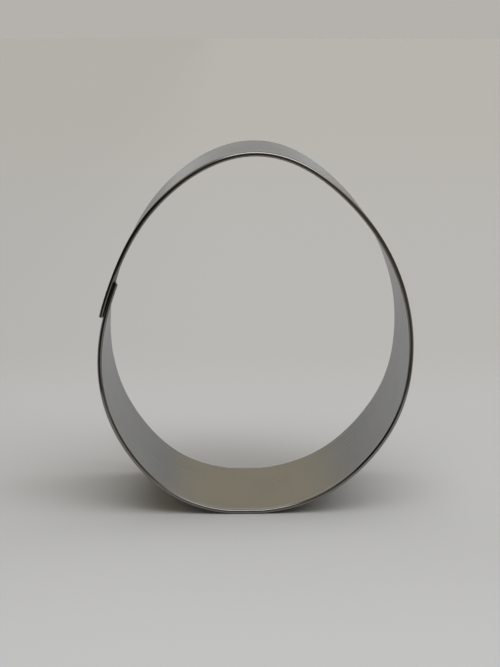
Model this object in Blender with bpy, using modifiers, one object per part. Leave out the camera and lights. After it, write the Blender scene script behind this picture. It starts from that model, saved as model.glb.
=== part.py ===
"""An egg-shaped cookie cutter, in metres, standing on its broad end with its hemmed edge towards -Y.

It is one strip of thin sheet steel. The strip is folded over along its front edge, to stiffen it and to make
an edge that is safe to press, and its back edge is left as cut, to go through the dough. It is bent round to
an egg, its two ends lap at the side, one outside the other, and spot welds between the ends hold them.
"""

import math

import bmesh
import bpy
from mathutils import Vector

# The egg, measured to the inside of the wall through its centre
INNER_HEIGHT = 0.07306
INNER_WIDTH = 0.0609
# What makes an egg of the oval: waves round it, as waves a turn, height, and the degrees from +X of the crest
# nearest to the tip. No crest is quite at 90 degrees, because the bent strip leans a little.
LEAN = math.radians(85.6)
EGG_WAVES = (
    (3, 0.00099, 94.7),
    (4, 0.00040, 91.4),
    (5, 0.00021, 95.7),
    (6, 0.00006, 86.6),
    (7, 0.00011, 87.9),
    (9, 0.00005, 89.1),
)
# How far the broad end is pressed flat where it stands
REST_SAG = 0.00015

# The strip
DEPTH = 0.022
SHEET = 0.00035
HEM_WIDTH = 0.0032
HEM_SLIT = 0.00005

# The lap: where the strip's inner end is, how far the ends lap, and the stretch in which the strip climbs
# from the inner layer to the outer one
LAP_START = math.radians(154.0)
LAP_LENGTH = 0.0073
LAP_GAP = 0.00005
CLIMB_LENGTH = 0.033
CLIMB_END = 0.002

# The spot welds, and the shallow marks that the electrodes leave on both sides
WELD_COUNT = 2
WELD_DIAMETER = 0.003
WELD_CLEARANCE = 0.0001
WELD_ROUNDING = 0.00006
MARK_DIAMETER = 0.0036
MARK_DEPTH = 0.00006

# Facets
STATIONS = 190
FOLD_STEPS = 8
SLIT_STEPS = 3
OUTLINE_STEPS = 1440
ROUND_STEPS = 32

HEM_THICKNESS = 2 * SHEET + HEM_SLIT
LAP_STEP = HEM_THICKNESS + LAP_GAP
WALL_GAP = LAP_STEP - SHEET


def wave_sum(angle, waves):
    return sum(height * math.cos(count * (angle - math.radians(crest))) for count, height, crest in waves)


def inner_radius(angle):
    """How far the inside of the wall is from the egg's centre, in the direction angle from +X.

    The mean radius and the oval's wave are what give the egg its inner height and width."""
    even = [wave for wave in EGG_WAVES if wave[0] % 2 == 0]
    half_height = INNER_HEIGHT / 2 - wave_sum(math.pi / 2, even)
    half_width = INNER_WIDTH / 2 - wave_sum(0, even)
    mean = (half_height + half_width) / 2
    oval = (half_height - half_width) / 2 / math.cos(2 * (math.pi / 2 - LEAN))
    return mean + oval * math.cos(2 * (angle - LEAN)) + wave_sum(angle, EGG_WAVES)


def egg_outline():
    """The inside of the wall, once round anticlockwise from the lap's start, flat where the egg stands."""
    points = []
    for step in range(OUTLINE_STEPS + 1):
        angle = LAP_START + 2 * math.pi * step / OUTLINE_STEPS
        points.append(Vector((math.cos(angle), math.sin(angle))) * inner_radius(angle))
    floor = min(point.y for point in points) + REST_SAG
    return [Vector((point.x, max(point.y, floor))) for point in points]


class Track:
    """The way that the strip takes: the egg's outline, walked by distance, and on past its start for the lap."""

    def __init__(self, outline):
        self.outline = outline
        self.distances = [0.0]
        for here, there in zip(outline, outline[1:]):
            self.distances.append(self.distances[-1] + (there - here).length)
        self.round = self.distances[-1]
        self.length = self.round + LAP_LENGTH

    def on_outline(self, distance):
        distance %= self.round
        low, high = 0, len(self.distances) - 1
        while high - low > 1:
            middle = (low + high) // 2
            if self.distances[middle] <= distance:
                low = middle
            else:
                high = middle
        share = (distance - self.distances[low]) / (self.distances[high] - self.distances[low])
        return self.outline[low].lerp(self.outline[high], share)

    def outward(self, distance):
        """The direction square to the wall, away from the egg's inside."""
        reach = self.round / STATIONS / 2
        along = self.on_outline(distance + reach) - self.on_outline(distance - reach)
        return Vector((along.y, -along.x)).normalized()

    def climb(self, distance):
        """How far the strip has climbed towards the outer layer."""
        climb_start = self.round - CLIMB_END - CLIMB_LENGTH
        share = min(max((distance - climb_start) / CLIMB_LENGTH, 0.0), 1.0)
        return LAP_STEP * share * share * (3 - 2 * share)

    def point(self, distance, offset=0.0):
        """A point on the strip, offset outwards from the inside of its own wall."""
        return self.on_outline(distance) + self.outward(distance) * (self.climb(distance) + offset)

    def stations(self, offset=0.0):
        return [self.point(self.length * step / STATIONS, offset) for step in range(STATIONS + 1)]


def arc(centre, radius, first, last, steps):
    points = []
    for step in range(steps + 1):
        angle = first + (last - first) * step / steps
        points.append(centre + Vector((math.cos(angle), math.sin(angle))) * radius)
    return points


def hem_section():
    """The strip's cross-section: x is outwards from the inside of the wall, y is 0 at the folded edge and
    runs back, below 0, to the cutting edge."""
    fold_radius = HEM_THICKNESS / 2
    fold_centre = Vector((fold_radius, -fold_radius))
    section = [Vector((HEM_THICKNESS - SHEET, -HEM_WIDTH)), Vector((HEM_THICKNESS, -HEM_WIDTH))]
    section += arc(fold_centre, fold_radius, 0, math.pi, FOLD_STEPS)
    section += [Vector((0, -DEPTH)), Vector((SHEET, -DEPTH))]
    section += arc(fold_centre, HEM_SLIT / 2, math.pi, 0, SLIT_STEPS)
    return section


def new_material(name, colour, roughness):
    material = bpy.data.materials.new(name)
    material.use_nodes = True
    surface = material.node_tree.nodes["Principled BSDF"]
    surface.inputs["Base Color"].default_value = (*colour, 1)
    surface.inputs["Roughness"].default_value = roughness
    surface.inputs["Metallic"].default_value = 1.0
    material.diffuse_color = (*colour, 1)
    return material


def poly_curve(name, points, cyclic):
    curve = bpy.data.curves.new(name, "CURVE")
    curve.dimensions = "2D"
    curve.fill_mode = "NONE"
    spline = curve.splines.new("POLY")
    spline.points.add(len(points) - 1)
    for slot, point in zip(spline.points, points):
        slot.co = (point.x, point.y, 0, 1)
    spline.use_cyclic_u = cyclic
    return bpy.data.objects.new(name, curve)


def swept_mesh(name, path, section, helpers):
    """The section carried along the path, closed at both ends."""
    guide = poly_curve(name + "_section", section, cyclic=True)
    sweep = poly_curve(name + "_path", path, cyclic=False)
    helpers.objects.link(guide)
    helpers.objects.link(sweep)
    sweep.data.bevel_mode = "OBJECT"
    sweep.data.bevel_object = guide
    sweep.data.use_fill_caps = True
    graph = bpy.context.evaluated_depsgraph_get()
    mesh = bpy.data.meshes.new_from_object(sweep.evaluated_get(graph))
    bpy.data.objects.remove(sweep)
    bpy.data.objects.remove(guide)
    caps_joined = bmesh.new()
    caps_joined.from_mesh(mesh)
    bmesh.ops.remove_doubles(caps_joined, verts=caps_joined.verts, dist=1e-7)
    bmesh.ops.recalc_face_normals(caps_joined, faces=caps_joined.faces)
    caps_joined.to_mesh(mesh)
    caps_joined.free()
    mesh.name = name
    return mesh


def disc_mesh(name, diameter, thickness):
    mesh = bpy.data.meshes.new(name)
    disc = bmesh.new()
    bmesh.ops.create_cone(
        disc, cap_ends=True, segments=ROUND_STEPS, radius1=diameter / 2, radius2=diameter / 2, depth=thickness
    )
    disc.to_mesh(mesh)
    disc.free()
    return mesh


def shade(mesh):
    mesh.shade_smooth()
    mesh.set_sharp_from_angle(angle=math.radians(40))


def new_object(name, mesh, egg_plane, collection):
    """An object placed in the egg's own plane: x to the right, y up the egg, z towards the hemmed edge."""
    made = bpy.data.objects.new(name, mesh)
    made.parent = egg_plane
    collection.objects.link(made)
    return made


def face_along(made, point, direction, depth):
    """Puts a disc at a depth behind the folded edge, with its axis along a direction in the egg's plane."""
    made.location = (point.x, point.y, -depth)
    made.rotation_mode = "QUATERNION"
    made.rotation_quaternion = Vector((direction.x, direction.y, 0)).to_track_quat("Z", "Y")


def weld_depths():
    """The welds share the wall behind the hem evenly."""
    room = DEPTH - HEM_WIDTH
    return [HEM_WIDTH + room * (number + 0.5) / WELD_COUNT for number in range(WELD_COUNT)]


def make_egg_plane(track, collection):
    """The empty that carries every piece. It puts the world's origin under the egg, midway across it."""
    outside = track.stations(HEM_THICKNESS)
    left = min(point.x for point in outside)
    right = max(point.x for point in outside)
    bottom = min(point.y for point in outside)
    empty = bpy.data.objects.new("egg_plane", None)
    empty.empty_display_size = INNER_WIDTH / 4
    empty.rotation_euler = (math.pi / 2, 0, 0)
    empty.location = (-(left + right) / 2, -DEPTH / 2, -bottom)
    collection.objects.link(empty)
    return empty


def make_strip(track, egg_plane, parts, cutters):
    mesh = swept_mesh("hemmed_strip", track.stations(), hem_section(), cutters)
    shade(mesh)
    mesh.materials.append(new_material("satin_steel", (0.60, 0.59, 0.57), 0.30))
    return new_object("hemmed_strip", mesh, egg_plane, parts)


def make_welds(track, egg_plane, parts):
    """The fused discs between the two layers of the lap, half way along it."""
    material = new_material("weld_steel", (0.46, 0.44, 0.41), 0.45)
    half_way = LAP_LENGTH / 2
    seat = track.point(half_way, SHEET + WALL_GAP / 2)
    for number, depth in enumerate(weld_depths(), 1):
        name = f"spot_weld_{number}"
        mesh = disc_mesh(name, WELD_DIAMETER, WALL_GAP - 2 * WELD_CLEARANCE)
        shade(mesh)
        mesh.materials.append(material)
        weld = new_object(name, mesh, egg_plane, parts)
        face_along(weld, seat, track.outward(half_way), depth)
        rounding = weld.modifiers.new("rounding", "BEVEL")
        rounding.width = WELD_ROUNDING
        rounding.segments = 2


def mark_strip(strip, track, egg_plane, cutters):
    """The electrodes' marks, pressed into the inside of the inner layer and the outside of the outer one."""
    half_way = LAP_LENGTH / 2
    outward = track.outward(half_way)
    cutter_length = MARK_DIAMETER
    faces = {
        "inner": (track.point(half_way), -outward),
        "outer": (track.point(track.round + half_way, SHEET), outward),
    }
    for number, depth in enumerate(weld_depths(), 1):
        for side, (face, away) in faces.items():
            name = f"weld_mark_{number}_{side}"
            cutter = new_object(name, disc_mesh(name, MARK_DIAMETER, cutter_length), egg_plane, cutters)
            face_along(cutter, face + away * (cutter_length / 2 - MARK_DEPTH), away, depth)
            cutter.hide_render = True
            cutter.display_type = "WIRE"
            mark = strip.modifiers.new(name, "BOOLEAN")
            mark.operation = "DIFFERENCE"
            mark.solver = "EXACT"
            mark.object = cutter


def new_collection(name):
    collection = bpy.data.collections.new(name)
    bpy.context.scene.collection.children.link(collection)
    return collection


def main():
    for old in list(bpy.data.objects):
        bpy.data.objects.remove(old)
    parts = new_collection("cookie_cutter")
    cutters = new_collection("cutters")
    track = Track(egg_outline())
    egg_plane = make_egg_plane(track, parts)
    strip = make_strip(track, egg_plane, parts, cutters)
    mark_strip(strip, track, egg_plane, cutters)
    make_welds(track, egg_plane, parts)


main()
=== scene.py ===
"""An egg-shaped cookie cutter, dressed for its photograph.

The hemmed strip is made as its maker makes it: a flat blank, folded over along one edge, given
its thickness, rounded at its cut edges, bent to the egg and marked by the welder's electrodes. The
two spot welds are made where its two layers are pressed together.
"""

import math

import bmesh
import bpy
from bpy.props import (
    FloatProperty,
    FloatVectorProperty,
    IntProperty,
    IntVectorProperty,
    PointerProperty,
)
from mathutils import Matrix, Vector


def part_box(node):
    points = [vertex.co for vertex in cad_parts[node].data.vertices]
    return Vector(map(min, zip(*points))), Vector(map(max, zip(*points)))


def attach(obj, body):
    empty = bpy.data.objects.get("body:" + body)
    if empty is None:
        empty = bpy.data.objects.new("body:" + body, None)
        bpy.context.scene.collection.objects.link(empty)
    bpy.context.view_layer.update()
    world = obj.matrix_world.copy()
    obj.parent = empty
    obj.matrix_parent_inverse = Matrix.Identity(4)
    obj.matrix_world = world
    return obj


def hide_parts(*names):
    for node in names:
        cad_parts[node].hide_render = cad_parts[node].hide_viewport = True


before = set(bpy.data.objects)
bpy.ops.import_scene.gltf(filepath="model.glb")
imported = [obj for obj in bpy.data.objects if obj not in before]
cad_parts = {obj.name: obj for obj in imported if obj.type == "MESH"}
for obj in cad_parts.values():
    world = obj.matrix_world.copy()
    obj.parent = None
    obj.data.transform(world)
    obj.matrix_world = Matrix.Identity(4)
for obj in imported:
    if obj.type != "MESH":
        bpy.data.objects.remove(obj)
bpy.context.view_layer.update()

bl_info = {
    "name": "Egg cookie cutter",
    "version": (1, 0, 0),
    "blender": (4, 5, 0),
    "location": "View3D > Sidebar > Cookie cutter",
    "description": "Makes a hemmed steel cookie cutter and its stage round a packed frame",
    "category": "Object",
}

STRIP_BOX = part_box("hemmed_strip")
BODY = "root"
WELD_NODES = ("spot_weld_1", "spot_weld_2")

# The photograph's camera: the picture's long side and the focal length in pixels
PICTURE_LONG_SIDE = 667
CAMERA_FOCAL = 1100
SENSOR_WIDTH = 36

# What a blank remembers of its flat shape, for the grain and the stains
FLAT_PLACE = "flat_place"
SHEARED = "sheared"

# Lengths below are in metres, and pairs say from where to where one thing passes into the next

# Where the wall is divided across its depth: at the fold, in steps, and by the cutting edge
FOLD_ROWS = (0.0006, 0.0008, 0.0010, 0.0012)
ROW_STEP = 0.0011
FINE_ROW_STEP = 0.00036
FINE_ROWS_REACH = 0.7
STEPS_END = 0.0008
EDGE_ROW = 0.0003

# How the folded-back flange is divided: behind the fold, along, and by the raw edge
FLANGE_FIRST_ROW = 0.0004
FLANGE_LAST_ROW = 0.0002
ON_FOLD_LINE = 1e-6
SAME_PLACE = 1e-7

# The inner end's cut, and the waves in which the wall wanders: height, stretch and start
CUT_REACH = 0.012
SLANT_REACH = 0.0012
WANDER_WAVES = ((1.0, 0.0067, 0.9), (0.6, 0.0031, 2.0))

# The fold's swelling: how deep it reaches, and how far before the lap it fades
SWELL_DEPTH = (0.0005, 0.0013)
SWELL_FADE = (0.004, 0.001)

# How squarely a face looks the way of a cut, and how near to the raw edge it lies
CUT_FACING = 0.3
RAW_EDGE_BAND = 0.0002

# The floor of an electrode's mark, as a share of its radius
MARK_FLOOR = 0.62

# How far along from each end the layers are pressed together and lean, and how deep
PRESS_FADE = (0.008, 0.014)
PRESS_DEPTH = (0.0, 0.0025)
INNER_LEAN_FADE = (0.010, 0.028)
OUTER_LEAN_RISE = (0.014, 0.006)

# Rounded edges and smooth shading
SHARP_ANGLE = math.radians(60)
SMOOTH_ANGLE = math.radians(50)
WELD_ROUNDING = 0.00005

# How often a texture repeats in a metre: along the strip, through it and across it
FINE_GRAIN = (45, 400, 5200)
BROAD_GRAIN = (18, 200, 900)
SHEAR_LINES = (9000, 600, 9000)
SHEET_STAINS = 95.0
WELD_STAINS = 900.0

# Between which heights of its noise a texture shows
GRAIN_SHOWS = (0.7, 1.3)
STAINS_SHOW = (0.38, 0.68)

# How the heat of a weld fades, and where its tinted ring is, as shares of its reach
HEAT_FADE = (1.0, 0.35)
RING_RISE = (0.38, 0.5)
RING_FALL = (0.72, 0.5)

# How much of each effect the sheet shows in its colour
# The fold's painted shade and its smoother polish give way to the sheet between these depths from
# the folded edge
FOLD_COLOUR_DEPTH = (0.00042, 0.00026)
STAIN_SHADE = 0.97
STREAK_GREY = (0.5, 0.5, 0.5)
STREAK_SHARE = 0.10
TINT_SHARE = 0.55

# What each effect adds to the sheet's roughness
STAIN_ROUGHNESS = 0.02
STREAK_ROUGHNESS = 0.04
HEAT_ROUGHNESS = 0.10

# The relief, as strength and height, and between what the roughness of a weld lies
SHEET_RELIEF = (0.25, 0.000004)
WELD_RELIEF = (0.3, 0.00001)
WELD_ROUGHNESS = (0.38, 0.55)

# The floor: its shades are painted light, lighter near the camera and darker behind, and they pass
# into each other from front to back; painted shade darkens it to the left
FLOOR_RADIUS = 3
FLOOR_PAINTED_SHADES = ((-0.065, -0.02), (0.05, 0.11), (0.15, 0.8))
FLOOR_LEFT = (0.0, -0.12)
FLOOR_LEFT_PAINTED_SHADE = 0.06
MATT_ROUGHNESS = 0.9
MATT_SHINE = 0.1

# The dark card
CARD_INNER_RADIUS = 0.088
CARD_OUTER_RADIUS = 3.0
CARD_MIDDLE = (0, 0, 0.001)
CARD_HALF_SECTOR = math.radians(72)
CARD_LEFT_TO_RIGHT = (-0.05, 0.08)

# The room, in the parts of a direction of length 1 from the middle of the floor
FRONT_TO_BACK = (0.40, 0.65)
LEFT_TO_RIGHT = (-0.25, 0.45)
WALL_SIDES = (0.02, 0.22)
WALL_SIDES_SHADE = 0.34
WALL_TOP = (0.12, 0.36)
GLOW_SIDES = (0.20, 0.34)
GLOW_SIDES_SHADE = 0.52
GLOW_TOP = (0.04, 0.12)
CEILING_IN_FRONT = (0.47, 0.58)
CEILING_BEHIND = (0.45, 0.75)
SOFTBOX_EDGES = (0.40, 0.22)
SOFTBOX_ENDS = (("X", -0.45, -0.25), ("X", 0.95, 0.50), ("Z", 0.10, 0.30))


def length(name, about, default):
    return FloatProperty(
        name=name, description=about, default=default, unit="LENGTH", precision=5,
    )


def bearing(name, about, default):
    return FloatProperty(name=name, description=about, default=default, subtype="ANGLE")


def colour(name, about, default):
    return FloatVectorProperty(
        name=name, description=about, default=default, subtype="COLOR", size=3, min=0, max=1,
    )


def share(name, about, default):
    return FloatProperty(
        name=name, description=about, default=default, subtype="FACTOR", min=0, max=1,
    )


class EggShape(bpy.types.PropertyGroup):
    """The line that the strip is bent to, as the CAD has it."""

    inner_height: length("Inner height", "Inside of the wall, tip to broad end", 0.07306)
    inner_width: length("Inner width", "Inside of the wall, side to side", 0.0609)
    lean: bearing("Lean", "Which way the egg's long axis points, from +X", math.radians(85.6))
    wave_counts: IntVectorProperty(
        name="Wave counts",
        description="What makes an egg of the oval: waves, with so many crests a turn",
        default=(3, 4, 5, 6, 7, 9), size=6,
    )
    wave_heights: FloatVectorProperty(
        name="Wave heights", description="How high each wave's crests are",
        default=(0.00099, 0.00040, 0.00021, 0.00006, 0.00011, 0.00005), size=6,
        unit="LENGTH", precision=5,
    )
    wave_crests: FloatVectorProperty(
        name="Wave crests", description="Where each wave's crest nearest to the tip is, from +X",
        default=[math.radians(turn) for turn in (94.7, 91.4, 95.7, 86.6, 87.9, 89.1)], size=6,
        subtype="NONE",
    )
    rest_sag: length("Rest sag", "How far the broad end is pressed flat where it stands", 0.00015)
    lap_start: bearing(
        "Lap start", "Where the strip's inner end is, from +X", math.radians(154.0),
    )
    lap_length: length("Lap length", "How far the two ends lap", 0.0073)
    lap_gap: length("Lap gap", "The gap between the hems where the ends lap", 0.00005)
    climb_length: length(
        "Climb length", "The stretch in which the strip climbs to the outer layer", 0.033,
    )
    climb_end: length("Climb end", "How far before the lap the climb is over", 0.002)


class StripStock(bpy.types.PropertyGroup):
    """The flat blank and its hem."""

    depth: length(
        "Depth", "From the folded edge to the cutting edge", STRIP_BOX[1].y - STRIP_BOX[0].y,
    )
    sheet: length("Sheet", "Thickness of the steel", 0.00035)
    hem_width: length("Hem width", "How far the strip is folded back", 0.0032)
    hem_slit: length("Hem slit", "The gap left inside the hem", 0.00005)
    fold_swell: length("Fold swell", "How far the fold bulges inwards", 0.00014)
    edge_rounding: length("Edge rounding", "How far cut edges are rounded over", 0.00004)
    end_slant: length(
        "End slant", "How far the inner end's cut runs out of square across the hem", 0.00026,
    )
    columns: IntProperty(name="Columns", description="Steps along the blank", default=640, min=40)
    fold_steps: IntProperty(
        name="Fold steps", description="Steps round the fold", default=14, min=4,
    )
    wander: length("Wander", "How far the cutting edge wanders from true", 0.00004)
    mark_diameter: length("Mark diameter", "Of the marks that the electrodes leave", 0.0036)
    mark_depth: length("Mark depth", "How far the electrodes press the sheets together", 0.00008)
    lap_press: length(
        "Lap press", "How far the inner end is pressed against the outer one, behind the hem",
        0.0004,
    )
    lap_lean: length("Lap lean", "How far the cutting edge leans outwards at the lap", 0.0005)
    end_reach: length(
        "End reach", "How far the inner end reaches past the lap at the fold", 0.0002,
    )
    corner_snip: length(
        "Corner snip", "How far the inner end's cut has run back where the hem ends", 0.0009,
    )
    end_trim: length("End trim", "How far it runs back from there to the cutting edge", 0.0016)
    weld_diameter: length("Weld diameter", "Of the fused spots", 0.003)
    weld_thickness: length(
        "Weld thickness", "How deep the fused spots reach through both layers", 0.0003,
    )


class SteelFinish(bpy.types.PropertyGroup):
    """Colours and polish of the steel."""

    steel: colour("Steel", "Satin sheet", (0.43, 0.43, 0.425))
    # Painted shade: the fold's colour is darker than the sheet's so that the rim shows as a dark
    # line. It stands in for the dark room that the rounded rim reflects; the fold's steel is not
    # darker for being stretched or rubbed.
    fold: colour("Fold", "The stretched and rubbed steel of the fold", (0.25, 0.24, 0.222))
    grazing: colour(
        "Grazing", "What is left of the steel's shine where it is seen edge on",
        (0.72, 0.73, 0.75),
    )
    cut: colour("Cut", "Sheared edges", (0.36, 0.355, 0.345))
    straw: colour("Straw", "Heat tint round the welds", (0.34, 0.27, 0.16))
    nugget: colour("Nugget", "The welds themselves", (0.24, 0.225, 0.21))
    roughness: share("Roughness", "Of the satin sheet", 0.22)
    fold_roughness: share("Fold roughness", "Of the fold", 0.12)
    cut_roughness: share("Cut roughness", "Of sheared edges", 0.45)
    heat_reach: length("Heat reach", "How far the heat tint reaches from a weld", 0.0036)


class StageLook(bpy.types.PropertyGroup):
    """The floor, the room's light and the camera."""

    # The floor's four colours are one paper under painted light: lighter near the camera, darker
    # and warmer behind
    floor: colour("Floor", "Plain pale floor under the cutter", (0.530, 0.530, 0.525))
    floor_before: colour(
        "Floor before", "The same floor, near the camera", (0.568, 0.571, 0.576),
    )
    floor_behind: colour(
        "Floor behind", "The same floor, a hand's breadth behind", (0.505, 0.50, 0.485),
    )
    floor_far: colour("Floor far", "The same floor, far behind", (0.500, 0.485, 0.455))
    horizon: colour("Horizon", "What the camera sees past the floor", (0.46, 0.445, 0.415))
    back_glow: colour("Back glow", "The room behind, level with the floor", (0.90, 0.90, 0.87))
    back_wall: colour("Back wall", "The room behind, low down", (0.53, 0.53, 0.515))
    back_light: colour("Back light", "The room behind, higher up", (0.48, 0.43, 0.315))
    back_shade: colour("Back shade", "The room behind, high up", (0.22, 0.21, 0.19))
    left_side: colour("Left side", "The room in front and to the left", (0.015, 0.015, 0.015))
    right_side: colour("Right side", "The room in front and to the right", (0.14, 0.11, 0.08))
    ceiling: colour("Ceiling", "The light from all over the ceiling", (0.38, 0.35, 0.28))
    softbox: colour("Softbox", "The light from above", (0.94, 0.955, 0.99))
    softbox_level: FloatProperty(
        name="Softbox level",
        description="How many times as bright as white paper the softbox is",
        default=3.65, subtype="UNSIGNED", min=0,
    )
    softbox_across: FloatVectorProperty(
        name="Softbox across",
        description="Which way the softbox is narrow. It is long from left to right",
        default=(0.0, 0.992, 0.126), size=3, subtype="DIRECTION",
    )
    camera_place: FloatVectorProperty(
        name="Camera place", description="Where the photograph was taken from",
        default=(-0.00450, -0.21771, 0.10155), size=3, subtype="TRANSLATION",
    )
    camera_pitch: bearing("Camera pitch", "How far the camera looks down", 0.2938)
    camera_yaw: bearing("Camera yaw", "How far the camera looks to the right", 0.0164)


# Sums


def clamp(value):
    return min(max(value, 0.0), 1.0)


def smooth_part(value, low, high):
    """A smooth step from 0 where value is low to 1 where it is high."""
    part = clamp((value - low) / (high - low))
    return part * part * (3 - 2 * part)


def line_length(points):
    return sum((there - here).length for here, there in zip(points, points[1:]))


# The line of the strip


def wave_sum(egg, angle, only_even=False):
    waves = zip(egg.wave_counts, egg.wave_heights, egg.wave_crests)
    return sum(
        height * math.cos(count * (angle - crest))
        for count, height, crest in waves if count % 2 == 0 or not only_even
    )


def inner_radius(egg, angle):
    """How far the inside of the wall is from the egg's centre, in the direction angle from +X."""
    half_height = egg.inner_height / 2 - wave_sum(egg, math.pi / 2, only_even=True)
    half_width = egg.inner_width / 2 - wave_sum(egg, 0, only_even=True)
    mean = (half_height + half_width) / 2
    oval = (half_height - half_width) / 2 / math.cos(2 * (math.pi / 2 - egg.lean))
    return mean + oval * math.cos(2 * (angle - egg.lean)) + wave_sum(egg, angle)


class Track:
    """The way that the strip takes in the egg's plane: once round anticlockwise, and on for the
    lap."""

    ROUND_STEPS = 1440
    REACH = 0.0006  # How far to either side of a place its direction is taken

    def __init__(self, egg, hem_thickness):
        self.egg = egg
        self.step_out = hem_thickness + egg.lap_gap
        points = []
        for step in range(self.ROUND_STEPS + 1):
            angle = egg.lap_start + 2 * math.pi * step / self.ROUND_STEPS
            points.append(Vector((math.cos(angle), math.sin(angle))) * inner_radius(egg, angle))
        floor = min(point.y for point in points) + egg.rest_sag
        self.outline = [Vector((point.x, max(point.y, floor))) for point in points]
        self.distances = [0.0]
        for here, there in zip(self.outline, self.outline[1:]):
            self.distances.append(self.distances[-1] + (there - here).length)
        self.round = self.distances[-1]
        self.end = self.round + egg.lap_length

    def on_outline(self, distance):
        distance %= self.round
        low, high = 0, self.ROUND_STEPS
        while high - low > 1:
            middle = (low + high) // 2
            if self.distances[middle] <= distance:
                low = middle
            else:
                high = middle
        part = (distance - self.distances[low]) / (self.distances[high] - self.distances[low])
        return self.outline[low].lerp(self.outline[high], part)

    def outward(self, distance):
        along = self.on_outline(distance + self.REACH) - self.on_outline(distance - self.REACH)
        return Vector((along.y, -along.x)).normalized()

    def outward_in_frame(self, distance):
        away = self.outward(distance)
        return Vector((away.x, 0, away.y))

    def climb(self, distance):
        start = self.round - self.egg.climb_end - self.egg.climb_length
        return self.step_out * smooth_part(distance, start, start + self.egg.climb_length)

    def point(self, distance, offset=0.0):
        return self.on_outline(distance) + self.outward(distance) * (self.climb(distance) + offset)

    def points(self, offset=0.0):
        return [
            self.point(self.end * step / self.ROUND_STEPS, offset)
            for step in range(self.ROUND_STEPS + 1)
        ]


def hem_thickness(stock):
    return 2 * stock.sheet + stock.hem_slit


# Modelling


def deselect_all():
    if bpy.context.object and bpy.context.object.mode != "OBJECT":
        bpy.ops.object.mode_set(mode="OBJECT")
    bpy.ops.object.select_all(action="DESELECT")


def select_points(piece, wanted):
    """In edit mode: selects the points whose place passes the test, and what lies between them."""
    bpy.ops.mesh.select_mode(type="VERT")
    bpy.ops.mesh.select_all(action="DESELECT")
    mesh = bmesh.from_edit_mesh(piece.data)
    for point in mesh.verts:
        point.select_set(wanted(piece.matrix_world @ point.co))
    mesh.select_flush(True)
    bmesh.update_edit_mesh(piece.data)


def apply_modifier(piece, kind, **settings):
    bpy.context.view_layer.objects.active = piece
    modifier = piece.modifiers.new(kind.lower(), kind)
    for name, value in settings.items():
        setattr(modifier, name, value)
    bpy.ops.object.modifier_apply(modifier=modifier.name)


def round_edges(piece, width, segments):
    apply_modifier(
        piece, "BEVEL", width=width, segments=segments,
        limit_method="ANGLE", angle_limit=SHARP_ANGLE,
    )


def apply_place(piece):
    deselect_all()
    piece.select_set(True)
    bpy.context.view_layer.objects.active = piece
    bpy.ops.object.transform_apply(location=True, rotation=True, scale=True)


def row_depths(stock, weld_depths):
    """Where the wall is divided across its depth: finely at the fold and at the welds' marks, and
    once close to the cutting edge."""
    rows = list(FOLD_ROWS)
    reach = FINE_ROWS_REACH * stock.mark_diameter
    depth = stock.hem_width / 2
    while depth < stock.depth - STEPS_END:
        rows.append(depth)
        near_mark = any(abs(depth - weld) < reach for weld in weld_depths)
        depth += FINE_ROW_STEP if near_mark else ROW_STEP
    return rows + [stock.depth - EDGE_ROW]


def make_blank(stock, blank_length, weld_depths):
    """The flat blank, as the middle of the sheet: x along it, -z from the fold to the cutting edge,
    -y towards what will be the outside of the egg."""
    hem = hem_thickness(stock)
    wall = stock.depth - hem / 2
    middle = (blank_length / 2, -stock.sheet / 2, -hem / 2 - wall / 2)
    deselect_all()
    bpy.ops.mesh.primitive_grid_add(
        x_subdivisions=stock.columns, y_subdivisions=1, size=1, enter_editmode=True,
        location=middle, rotation=(math.pi / 2, 0, 0),
    )
    blank = bpy.context.object
    blank.name = blank.data.name = "cutter_band"
    bpy.ops.transform.resize(value=(blank_length, 1, wall), center_override=middle)
    for depth in row_depths(stock, weld_depths):
        bpy.ops.mesh.select_all(action="SELECT")
        bpy.ops.mesh.bisect(plane_co=(0, 0, -depth), plane_no=(0, 0, 1))
    return blank


def fold_hem(blank, stock):
    """Spins the blank's edge round the fold and draws the flange out of it."""
    hem = hem_thickness(stock)
    select_points(blank, lambda place: place.z > -hem / 2 - ON_FOLD_LINE)
    bpy.ops.mesh.spin(
        steps=stock.fold_steps, angle=-math.pi, center=(0, -hem / 2, -hem / 2), axis=(1, 0, 0),
    )
    rest = stock.hem_width - hem / 2 - FLANGE_FIRST_ROW - FLANGE_LAST_ROW
    for stretch in (FLANGE_FIRST_ROW, rest, FLANGE_LAST_ROW):
        bpy.ops.mesh.extrude_edges_move(TRANSFORM_OT_translate={"value": (0, 0, -stretch)})
    bpy.ops.mesh.select_all(action="SELECT")
    bpy.ops.mesh.remove_doubles(threshold=SAME_PLACE)
    bpy.ops.mesh.normals_make_consistent(inside=False)
    bpy.ops.object.mode_set(mode="OBJECT")
    apply_place(blank)


def shape_flat_blank(blank, stock):
    """The inner end's cut runs a little out of square across the hem and slants back along it and
    behind it, and the wall isn't quite true."""
    hem = hem_thickness(stock)
    for point in blank.data.vertices:
        place = point.co
        behind = max(-place.z - stock.hem_width, 0.0) / (stock.depth - stock.hem_width)
        in_hem = clamp(-place.z / stock.hem_width)
        run_back = stock.corner_snip * in_hem + stock.end_trim * behind - stock.end_reach
        place.x += run_back * max(1 - place.x / CUT_REACH, 0.0)
        deep = clamp(-place.z / stock.depth)
        near_end = 1 - smooth_part(place.x, 0.0, SLANT_REACH)
        place.x -= stock.end_slant * (-place.y / hem - 0.5) * near_end
        wave = sum(
            height * math.sin(place.x / stretch + start) for height, stretch, start in WANDER_WAVES
        )
        place.y += stock.wander * wave * deep * deep


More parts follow.
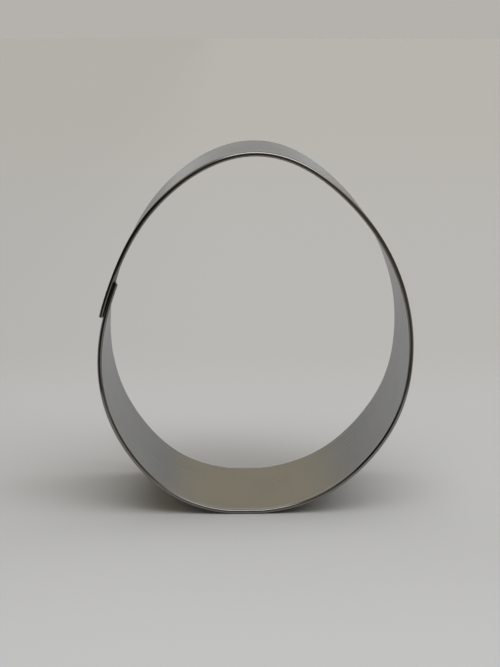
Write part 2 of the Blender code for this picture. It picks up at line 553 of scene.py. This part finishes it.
def swell_fold(blank, stock, lap_length):
    """The fold is a little fatter than two sheets. It bulges inwards, except where it lies on the
    inner end."""
    hem = hem_thickness(stock)
    free_end = max(point.co.x for point in blank.data.vertices) - lap_length
    for point in blank.data.vertices:
        place = point.co
        inside = clamp(place.y / hem + 1)
        near = 1 - smooth_part(-place.z, *SWELL_DEPTH)
        free = 1 - smooth_part(place.x, *[free_end - before for before in SWELL_FADE])
        place.y += stock.fold_swell * inside * near * free


def remember_flat(blank, stock):
    """Keeps each point's place on the flat blank, and which faces the shears made."""
    mesh = blank.data
    flat = mesh.attributes.new(FLAT_PLACE, "FLOAT_VECTOR", "POINT")
    places = [part for point in mesh.vertices for part in (point.co.x, -point.co.y, -point.co.z)]
    flat.data.foreach_set("vector", places)
    sheared = mesh.attributes.new(SHEARED, "FLOAT", "FACE")
    marks = []
    for face in mesh.polygons:
        by_raw_edge = face.center.z < RAW_EDGE_BAND - stock.hem_width
        at_raw_edge = by_raw_edge and face.normal.z < -CUT_FACING
        at_end = abs(face.normal.x) > CUT_FACING
        marks.append(1.0 if at_raw_edge or at_end else 0.0)
    sheared.data.foreach_set("value", marks)


def bend(blank, points):
    """Bends the blank along the line of the strip."""
    line = bpy.data.curves.new("strip_line", "CURVE")
    line.dimensions = "2D"
    spline = line.splines.new("POLY")
    spline.points.add(len(points) - 1)
    for slot, point in zip(spline.points, points):
        slot.co = (point.x, point.y, 0, 1)
    guide = bpy.data.objects.new("strip_line", line)
    bpy.context.scene.collection.objects.link(guide)
    apply_modifier(blank, "CURVE", object=guide, deform_axis="POS_X")
    bpy.data.objects.remove(guide)


def press_marks(band, stock, seats, away):
    """Presses the two layers together at the welds, from both sides."""
    radius = stock.mark_diameter / 2
    for point in band.data.vertices:
        for seat in seats:
            offset = point.co - seat
            through = offset.dot(away)
            aside = (offset - away * through).length
            if aside < radius and abs(through) < 2 * stock.sheet:
                pressed = stock.mark_depth * (1 - smooth_part(aside, MARK_FLOOR * radius, radius))
                point.co -= away * math.copysign(pressed, through)


def lean_ends(band, track, stock):
    """Behind the hem the inner end is pressed against the outer one, and both lean outwards a
    little."""
    wall = stock.depth - stock.hem_width
    for point, place in zip(band.data.vertices, band.data.attributes[FLAT_PLACE].data):
        along, _, deep = place.vector
        behind = max(deep - stock.hem_width, 0.0)
        at_lap = 1 - smooth_part(along, *PRESS_FADE)
        press = stock.lap_press * at_lap * smooth_part(behind, *PRESS_DEPTH)
        inner = 1 - smooth_part(along, *INNER_LEAN_FADE)
        outer = smooth_part(along, *[track.end - before for before in OUTER_LEAN_RISE])
        shift = press + stock.lap_lean * (inner + outer) * behind / wall
        if shift:
            point.co += track.outward_in_frame(along) * shift


def weld_seats():
    return [sum(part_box(node), Vector()) / 2 for node in WELD_NODES]


def lap_direction(track):
    return track.outward_in_frame(track.egg.lap_length / 2)


def make_weld(name, stock, seat, away):
    """A fused spot, where the two layers touch behind the hem."""
    deep = seat.y - STRIP_BOX[0].y
    lean = stock.lap_lean * (deep - stock.hem_width) / (stock.depth - stock.hem_width)
    deselect_all()
    bpy.ops.mesh.primitive_cylinder_add(
        vertices=48, radius=stock.weld_diameter / 2, depth=stock.weld_thickness,
        location=seat + away * (stock.lap_press / 2 + lean),
        rotation=(0, math.atan2(away.x, away.z), 0),
    )
    weld = bpy.context.object
    weld.name = weld.data.name = name
    round_edges(weld, WELD_ROUNDING, 2)
    apply_place(weld)
    bpy.ops.object.shade_smooth_by_angle(angle=SMOOTH_ANGLE)
    return weld


def make_band(egg, stock):
    hem = hem_thickness(stock)
    track = Track(egg, hem)
    line = track.points()
    outside = track.points(hem)
    left = min(point.x for point in outside)
    right = max(point.x for point in outside)
    bottom = min(point.y for point in outside)
    low, high = STRIP_BOX
    origin = Vector(((low.x + high.x - left - right) / 2, low.y, low.z - bottom))
    seats = weld_seats()

    band = make_blank(stock, line_length(line), [seat.y - low.y for seat in seats])
    fold_hem(band, stock)
    apply_modifier(band, "SOLIDIFY", thickness=stock.sheet, offset=0.0, use_even_offset=True)
    shape_flat_blank(band, stock)
    swell_fold(band, stock, egg.lap_length)
    round_edges(band, stock.edge_rounding, 3)
    remember_flat(band, stock)
    bend(band, line)
    band.rotation_euler = (math.pi / 2, 0, 0)
    band.location = origin
    apply_place(band)
    press_marks(band, stock, seats, lap_direction(track))
    lean_ends(band, track, stock)
    bpy.ops.object.shade_smooth_by_angle(angle=SMOOTH_ANGLE)
    return band


# Materials


def new_group(name, inputs, outputs):
    group = bpy.data.node_groups.new(name, "ShaderNodeTree")
    for side, sockets in (("INPUT", inputs), ("OUTPUT", outputs)):
        for socket, kind in sockets.items():
            group.interface.new_socket(name=socket, in_out=side, socket_type=kind)
    return group, group.nodes.new("NodeGroupInput"), group.nodes.new("NodeGroupOutput")


def put(tree, kind, links=None, **settings):
    """Adds a node with its settings. links gives its inputs: a socket to link, or a value."""
    node = tree.nodes.new(kind)
    for name, value in settings.items():
        setattr(node, name, value)
    for name, value in (links or {}).items():
        if isinstance(value, bpy.types.NodeSocket):
            tree.links.new(value, node.inputs[name])
        else:
            node.inputs[name].default_value = value
    return node


def maths(tree, operation, first, second=0.0):
    return put(tree, "ShaderNodeMath", {0: first, 1: second}, operation=operation).outputs[0]


def ramp(tree, value, low, high, first=0.0, last=1.0):
    """A smooth step: first where value is low, last where it is high."""
    node = put(
        tree, "ShaderNodeMapRange",
        {"Value": value, "From Min": low, "From Max": high, "To Min": first, "To Max": last},
        interpolation_type="SMOOTHSTEP",
    )
    return node.outputs["Result"]


def blend(tree, factor, first, second):
    """Passes from one colour to another."""
    colours = {0: factor, 6: first, 7: second}
    return put(tree, "ShaderNodeMix", colours, data_type="RGBA").outputs[2]


def blend_values(tree, factor, first, second):
    return put(tree, "ShaderNodeMix", {0: factor, 2: first, 3: second}).outputs[0]


def darken(tree, shade, value, colour_value):
    """Takes the share shade off a colour where value is 1."""
    return blend(tree, maths(tree, "MULTIPLY", value, shade), colour_value, opaque((0, 0, 0)))


def scaled(tree, vector, scale):
    return put(tree, "ShaderNodeMapping", {"Vector": vector, "Scale": scale}).outputs[0]


def noise(tree, vector, **looks):
    return put(tree, "ShaderNodeTexNoise", {"Vector": vector, **looks}).outputs[0]


def opaque(colour_value):
    return (*colour_value, 1)


def rolled_grain():
    """The fine lines that the mill's rolls leave along a sheet."""
    group, start, end = new_group(
        "rolled_grain",
        {"Vector": "NodeSocketVector"},
        {"Streaks": "NodeSocketFloat", "Height": "NodeSocketFloat"},
    )
    place = start.outputs[0]
    lines = noise(group, scaled(group, place, FINE_GRAIN), Scale=1.0, Detail=4.0, Roughness=0.6)
    bands = noise(group, scaled(group, place, BROAD_GRAIN), Scale=1.0, Detail=2.0)
    height = maths(group, "ADD", lines, bands)
    group.links.new(ramp(group, height, *GRAIN_SHOWS), end.inputs["Streaks"])
    group.links.new(height, end.inputs["Height"])
    return group


def soft_stains():
    """Faint cloudy patches, left by handling and washing."""
    group, start, end = new_group(
        "soft_stains",
        {"Vector": "NodeSocketVector", "Scale": "NodeSocketFloat"},
        {"Mask": "NodeSocketFloat"},
    )
    clouds = noise(
        group, start.outputs["Vector"], Scale=start.outputs["Scale"],
        Detail=3.0, Roughness=0.45, Distortion=0.4,
    )
    group.links.new(ramp(group, clouds, *STAINS_SHOW), end.inputs["Mask"])
    return group


def weld_heat():
    """How near a place is to a weld: 1 where the electrodes pressed, falling to 0 at the reach of
    the heat. The ring is where the heat has tinted the steel."""
    group, start, end = new_group(
        "weld_heat",
        {"Vector": "NodeSocketVector", "First weld": "NodeSocketVector",
         "Second weld": "NodeSocketVector", "Reach": "NodeSocketFloat"},
        {"Mask": "NodeSocketFloat", "Ring": "NodeSocketFloat"},
    )
    gaps = []
    for weld in ("First weld", "Second weld"):
        ends = {0: start.outputs["Vector"], 1: start.outputs[weld]}
        gap = put(group, "ShaderNodeVectorMath", ends, operation="DISTANCE")
        gaps.append(gap.outputs["Value"])
    nearest = maths(group, "DIVIDE", maths(group, "MINIMUM", *gaps), start.outputs["Reach"])
    group.links.new(ramp(group, nearest, *HEAT_FADE), end.inputs["Mask"])
    rising = ramp(group, nearest, *RING_RISE)
    falling = ramp(group, nearest, *RING_FALL)
    group.links.new(maths(group, "MULTIPLY", rising, falling), end.inputs["Ring"])
    return group


def use_group(tree, group, links):
    return put(tree, "ShaderNodeGroup", links, node_tree=group)


def new_material(name):
    material = bpy.data.materials.new(name)
    material.use_nodes = True
    return material, material.node_tree, material.node_tree.nodes["Principled BSDF"]


def new_steel(name, shown):
    material, tree, surface = new_material(name)
    material.diffuse_color = opaque(shown)
    surface.inputs["Metallic"].default_value = 1.0
    return material, tree, surface


def raise_relief(tree, surface, relief, height):
    strength, distance = relief
    bump = put(
        tree, "ShaderNodeBump", {"Strength": strength, "Distance": distance, "Height": height},
    )
    tree.links.new(bump.outputs[0], surface.inputs["Normal"])


def satin_steel(finish, groups, weld_places):
    material, tree, surface = new_steel("satin_steel", finish.steel)
    surface.inputs["Specular Tint"].default_value = opaque(finish.grazing)
    flat = put(tree, "ShaderNodeAttribute", attribute_name=FLAT_PLACE).outputs["Vector"]
    cut_face = put(tree, "ShaderNodeAttribute", attribute_name=SHEARED).outputs["Fac"]
    depth = put(tree, "ShaderNodeSeparateXYZ", {0: flat}).outputs["Z"]
    fold_shade_and_polish = ramp(tree, depth, *FOLD_COLOUR_DEPTH)
    grain = use_group(tree, groups["grain"], {"Vector": flat})
    stains = use_group(
        tree, groups["stains"], {"Vector": flat, "Scale": SHEET_STAINS},
    ).outputs["Mask"]
    object_place = put(tree, "ShaderNodeTexCoord").outputs["Object"]
    heat = use_group(
        tree, groups["heat"],
        {"Vector": object_place, "First weld": weld_places[0], "Second weld": weld_places[1],
         "Reach": finish.heat_reach},
    )

    stain_colour = [part * STAIN_SHADE for part in finish.steel]
    stained = blend(tree, stains, opaque(finish.steel), opaque(stain_colour))
    streak_share = maths(tree, "MULTIPLY", grain.outputs["Streaks"], STREAK_SHARE)
    streaked = blend(tree, streak_share, stained, opaque(STREAK_GREY))
    tint_share = maths(tree, "MULTIPLY", heat.outputs["Ring"], TINT_SHARE)
    tinted = blend(tree, tint_share, streaked, opaque(finish.straw))
    # Painted shade: the fold is darkened so that the rim shows as a dark line
    folded = blend(tree, fold_shade_and_polish, tinted, opaque(finish.fold))
    coloured = blend(tree, cut_face, folded, opaque(finish.cut))
    tree.links.new(coloured, surface.inputs["Base Color"])

    roughness = finish.roughness
    for effect, added in (
        (stains, STAIN_ROUGHNESS),
        (grain.outputs["Streaks"], STREAK_ROUGHNESS),
        (heat.outputs["Mask"], HEAT_ROUGHNESS),
    ):
        roughness = maths(tree, "ADD", maths(tree, "MULTIPLY", effect, added), roughness)
    with_fold = blend_values(tree, fold_shade_and_polish, roughness, finish.fold_roughness)
    with_cut = blend_values(tree, cut_face, with_fold, finish.cut_roughness)
    tree.links.new(with_cut, surface.inputs["Roughness"])

    sheared_lines = noise(tree, scaled(tree, flat, SHEAR_LINES), Scale=1.0, Detail=2.0)
    height = blend_values(tree, cut_face, grain.outputs["Height"], sheared_lines)
    raise_relief(tree, surface, SHEET_RELIEF, height)
    return material


def weld_steel(finish, groups):
    material, tree, surface = new_steel("weld_steel", finish.nugget)
    place = put(tree, "ShaderNodeTexCoord").outputs["Object"]
    stains = use_group(
        tree, groups["stains"], {"Vector": place, "Scale": WELD_STAINS},
    ).outputs["Mask"]
    coloured = blend(tree, stains, opaque(finish.nugget), opaque(finish.straw))
    tree.links.new(coloured, surface.inputs["Base Color"])
    tree.links.new(ramp(tree, stains, 0.0, 1.0, *WELD_ROUGHNESS), surface.inputs["Roughness"])
    raise_relief(tree, surface, WELD_RELIEF, stains)
    return material


def material_groups():
    """The shared effects, built once."""
    made = {}
    for name, build in (("grain", rolled_grain), ("stains", soft_stains), ("heat", weld_heat)):
        made[name] = bpy.data.node_groups.get(build.__name__) or build()
    return made


# The stage


def make_floor(stage):
    deselect_all()
    bpy.ops.mesh.primitive_circle_add(
        vertices=96, radius=FLOOR_RADIUS, fill_type="NGON", location=(0, 0, 0),
    )
    floor = bpy.context.object
    floor.name = "floor"
    material, tree, surface = new_material("floor_paper")
    surface.inputs["Roughness"].default_value = MATT_ROUGHNESS
    surface.inputs["Specular IOR Level"].default_value = MATT_SHINE
    place = put(tree, "ShaderNodeTexCoord").outputs["Object"]
    sides = put(tree, "ShaderNodeSeparateXYZ", {0: place}).outputs
    # Painted light: the floor is lighter near the camera and darker behind, and painted shade
    # darkens it to the left
    coloured = opaque(stage.floor_before)
    further = (stage.floor, stage.floor_behind, stage.floor_far)
    for edges, shade in zip(FLOOR_PAINTED_SHADES, further):
        coloured = blend(tree, ramp(tree, sides["Y"], *edges), coloured, opaque(shade))
    coloured = darken(tree, FLOOR_LEFT_PAINTED_SHADE, ramp(tree, sides["X"], *FLOOR_LEFT), coloured)
    tree.links.new(coloured, surface.inputs["Base Color"])
    floor.data.materials.append(material)


def make_dark_card(stage):
    """A dark card that lies on the floor in front. It shows only in reflections."""
    grow = CARD_OUTER_RADIUS / CARD_INNER_RADIUS
    deselect_all()
    bpy.ops.mesh.primitive_circle_add(
        vertices=64, radius=CARD_INNER_RADIUS, fill_type="NOTHING", location=CARD_MIDDLE,
    )
    card = bpy.context.object
    card.name = "dark_card"
    bpy.ops.object.mode_set(mode="EDIT")
    bpy.ops.mesh.select_all(action="SELECT")
    bpy.ops.mesh.extrude_edges_move(TRANSFORM_OT_translate={"value": (0, 0, 0)})
    bpy.ops.transform.resize(value=(grow, grow, 1), center_override=CARD_MIDDLE)
    select_points(card, lambda place: abs(math.atan2(place.x, -place.y)) > CARD_HALF_SECTOR)
    bpy.ops.mesh.delete(type="VERT")
    bpy.ops.object.mode_set(mode="OBJECT")
    material, tree, surface = new_material("dark_card")
    surface.inputs["Roughness"].default_value = MATT_ROUGHNESS
    place = put(tree, "ShaderNodeTexCoord").outputs["Object"]
    side = put(tree, "ShaderNodeSeparateXYZ", {0: place}).outputs["X"]
    to_right = ramp(tree, side, *CARD_LEFT_TO_RIGHT)
    coloured = blend(tree, to_right, opaque(stage.left_side), opaque(stage.right_side))
    tree.links.new(coloured, surface.inputs["Base Color"])
    card.data.materials.append(material)
    for kind in ("camera", "diffuse", "shadow", "transmission", "volume_scatter"):
        setattr(card, f"visible_{kind}", False)


def light_room(stage):
    """The room is a world that gives each direction its light, so that the floor is lit evenly: a
    dark front, a wall behind with a glow at its foot, a ceiling, and a softbox across it."""
    world = bpy.data.worlds.new("room")
    bpy.context.scene.world = world
    world.use_nodes = True
    tree = world.node_tree
    background = tree.nodes["Background"]
    look = put(tree, "ShaderNodeTexCoord").outputs["Generated"]
    sides = put(tree, "ShaderNodeSeparateXYZ", {0: look}).outputs
    behind = ramp(tree, sides["Y"], *FRONT_TO_BACK)
    to_right = ramp(tree, sides["X"], *LEFT_TO_RIGHT)
    front = blend(tree, to_right, opaque(stage.left_side), opaque(stage.right_side))

    off_middle = maths(tree, "ABSOLUTE", sides["X"])
    wall_sides = ramp(tree, off_middle, *WALL_SIDES)
    wall = darken(tree, WALL_SIDES_SHADE, wall_sides, opaque(stage.back_wall))
    wall = blend(tree, ramp(tree, sides["Z"], *WALL_TOP), wall, opaque(stage.back_light))
    glow_sides = ramp(tree, off_middle, *GLOW_SIDES)
    glow = darken(tree, GLOW_SIDES_SHADE, glow_sides, opaque(stage.back_glow))
    back = blend(tree, ramp(tree, sides["Z"], *GLOW_TOP), glow, wall)

    low = blend(tree, behind, front, back)
    high = blend(tree, behind, opaque(stage.ceiling), opaque(stage.back_shade))
    rise = blend_values(
        tree, behind, ramp(tree, sides["Z"], *CEILING_IN_FRONT),
        ramp(tree, sides["Z"], *CEILING_BEHIND),
    )
    room = blend(tree, rise, low, high)

    ways = {0: look, 1: stage.softbox_across}
    across = put(tree, "ShaderNodeVectorMath", ways, operation="DOT_PRODUCT").outputs["Value"]
    inside = ramp(tree, maths(tree, "ABSOLUTE", across), *SOFTBOX_EDGES)
    for side, dark, bright in SOFTBOX_ENDS:
        inside = maths(tree, "MULTIPLY", inside, ramp(tree, sides[side], dark, bright))
    softbox = [part * stage.softbox_level for part in stage.softbox]
    lit = blend(tree, inside, room, opaque(softbox))
    to_camera = put(tree, "ShaderNodeLightPath").outputs["Is Camera Ray"]
    tree.links.new(blend(tree, to_camera, lit, opaque(stage.horizon)), background.inputs["Color"])
    background.inputs["Strength"].default_value = 1.0


def place_camera(stage):
    camera = bpy.data.objects.new("camera", bpy.data.cameras.new("camera"))
    bpy.context.scene.collection.objects.link(camera)
    camera.location = stage.camera_place
    camera.rotation_euler = (math.pi / 2 - stage.camera_pitch, 0, -stage.camera_yaw)
    camera.data.sensor_width = SENSOR_WIDTH
    camera.data.lens = CAMERA_FOCAL * SENSOR_WIDTH / PICTURE_LONG_SIDE
    camera.data.clip_start = 0.01
    camera.data.clip_end = 100
    bpy.context.scene.camera = camera


# What the sidebar offers


class CUTTER_OT_make_band(bpy.types.Operator):
    """Folds, bends and finishes the hemmed strip"""

    bl_idname = "cookie_cutter.make_band"
    bl_label = "Make the hemmed band"

    def execute(self, context):
        scene = context.scene
        band = make_band(scene.cutter_egg, scene.cutter_stock)
        steel = satin_steel(scene.cutter_finish, material_groups(), weld_seats())
        band.data.materials.append(steel)
        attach(band, BODY)
        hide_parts("hemmed_strip")
        return {"FINISHED"}


class CUTTER_OT_make_welds(bpy.types.Operator):
    """Makes the two spot welds of the lap and gives them their finish"""

    bl_idname = "cookie_cutter.make_welds"
    bl_label = "Make the spot welds"

    def execute(self, context):
        scene = context.scene
        material = weld_steel(scene.cutter_finish, material_groups())
        away = lap_direction(Track(scene.cutter_egg, hem_thickness(scene.cutter_stock)))
        for number, (node, seat) in enumerate(zip(WELD_NODES, weld_seats()), start=1):
            weld = make_weld(f"cutter_weld_{number}", scene.cutter_stock, seat, away)
            weld.data.materials.append(material)
            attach(weld, BODY)
            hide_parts(node)
        return {"FINISHED"}


class CUTTER_OT_set_stage(bpy.types.Operator):
    """Lays the floor, lights the room and places the camera"""

    bl_idname = "cookie_cutter.set_stage"
    bl_label = "Set the stage"

    def execute(self, context):
        stage = context.scene.cutter_stage
        context.scene.view_settings.view_transform = "Standard"
        make_floor(stage)
        make_dark_card(stage)
        light_room(stage)
        place_camera(stage)
        return {"FINISHED"}


class CUTTER_PT_sidebar(bpy.types.Panel):
    """The cutter's sizes, finish and stage"""

    bl_idname = "CUTTER_PT_sidebar"
    bl_label = "Cookie cutter"
    bl_space_type = "VIEW_3D"
    bl_region_type = "UI"
    bl_category = "Cookie cutter"

    def draw(self, context):
        for operator, names in STEPS:
            box = self.layout.box()
            box.operator(operator.bl_idname)
            for name in names:
                group = getattr(context.scene, name)
                for prop in group.bl_rna.properties:
                    if prop.identifier not in {"rna_type", "name"}:
                        box.prop(group, prop.identifier)


STEPS = (
    (CUTTER_OT_make_band, ("cutter_egg", "cutter_stock")),
    (CUTTER_OT_make_welds, ("cutter_finish",)),
    (CUTTER_OT_set_stage, ("cutter_stage",)),
)
GROUPS = {
    "cutter_egg": EggShape,
    "cutter_stock": StripStock,
    "cutter_finish": SteelFinish,
    "cutter_stage": StageLook,
}
CLASSES = (
    *GROUPS.values(),
    CUTTER_OT_make_band, CUTTER_OT_make_welds, CUTTER_OT_set_stage,
    CUTTER_PT_sidebar,
)


def register():
    for kind in CLASSES:
        bpy.utils.register_class(kind)
    for name, group in GROUPS.items():
        setattr(bpy.types.Scene, name, PointerProperty(type=group))


def unregister():
    for name in GROUPS:
        delattr(bpy.types.Scene, name)
    for kind in reversed(CLASSES):
        bpy.utils.unregister_class(kind)


def main():
    register()
    bpy.ops.cookie_cutter.make_band()
    bpy.ops.cookie_cutter.make_welds()
    bpy.ops.cookie_cutter.set_stage()


if __name__ == "__main__":
    main()
